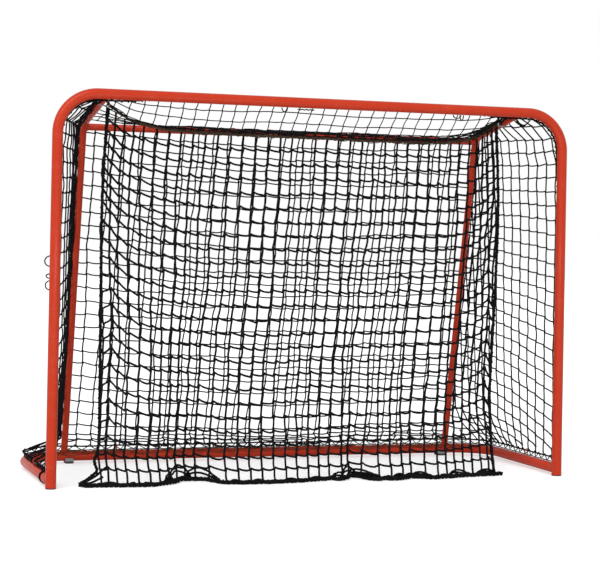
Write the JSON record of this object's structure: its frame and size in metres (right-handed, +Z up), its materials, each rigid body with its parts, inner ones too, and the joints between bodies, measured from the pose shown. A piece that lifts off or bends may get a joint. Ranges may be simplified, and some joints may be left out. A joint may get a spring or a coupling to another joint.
{
  "type": "street hockey goal",
  "caption": "Portable hockey goal of bent steel tube with a rear base frame, a laced main net and a heavier drop net hung behind the mouth.",
  "frame": {"origin": "on the floor, in the middle of the goal's outline", "axes": "+X along the crossbar, to the right as seen from the front; +Y from the mouth to the back; +Z up"},
  "size_m": [1.664, 0.65, 1.182],
  "materials": {
    "frame": "gloss powder coat, red-orange",
    "plugs": "moulded black plastic",
    "pads": "matt grey rubber",
    "main_net": "twisted black cord",
    "border_rope": "twisted black rope",
    "drop_net": "thick twisted black cord",
    "drop_rope": "twisted black rope",
    "webbing": "woven light grey webbing"
  },
  "bodies": {
    "root": {"front_frame": "frame", "base_frame": "frame", "stay_left": "frame", "stay_right": "frame", "rear_top_bar": "frame", "crossbar_eyelet_1": "frame", "crossbar_eyelet_2": "frame", "crossbar_eyelet_3": "frame", "crossbar_eyelet_4": "frame", "post_eyelet_left_1": "frame", "post_eyelet_left_2": "frame", "post_eyelet_right_1": "frame", "post_eyelet_right_2": "frame", "base_eyelet_1": "frame", "base_eyelet_2": "frame", "base_eyelet_3": "frame", "base_eyelet_4": "frame", "side_eyelet_left": "frame", "side_eyelet_right": "frame", "post_plug_left": "plugs", "post_plug_right": "plugs", "rear_pad_left": "pads", "rear_pad_right": "pads", "roof_net": "main_net", "back_net": "main_net", "side_net_left": "main_net", "side_net_right": "main_net", "front_border_rope": "border_rope", "base_border_rope": "border_rope", "drop_net": "drop_net", "drop_head_rope": "drop_rope", "drop_edge_rope_left": "drop_rope", "drop_edge_rope_right": "drop_rope", "drop_hem_rope": "drop_rope", "corner_strap_left": "webbing", "corner_strap_right": "webbing"}
  },
  "joints": []
}
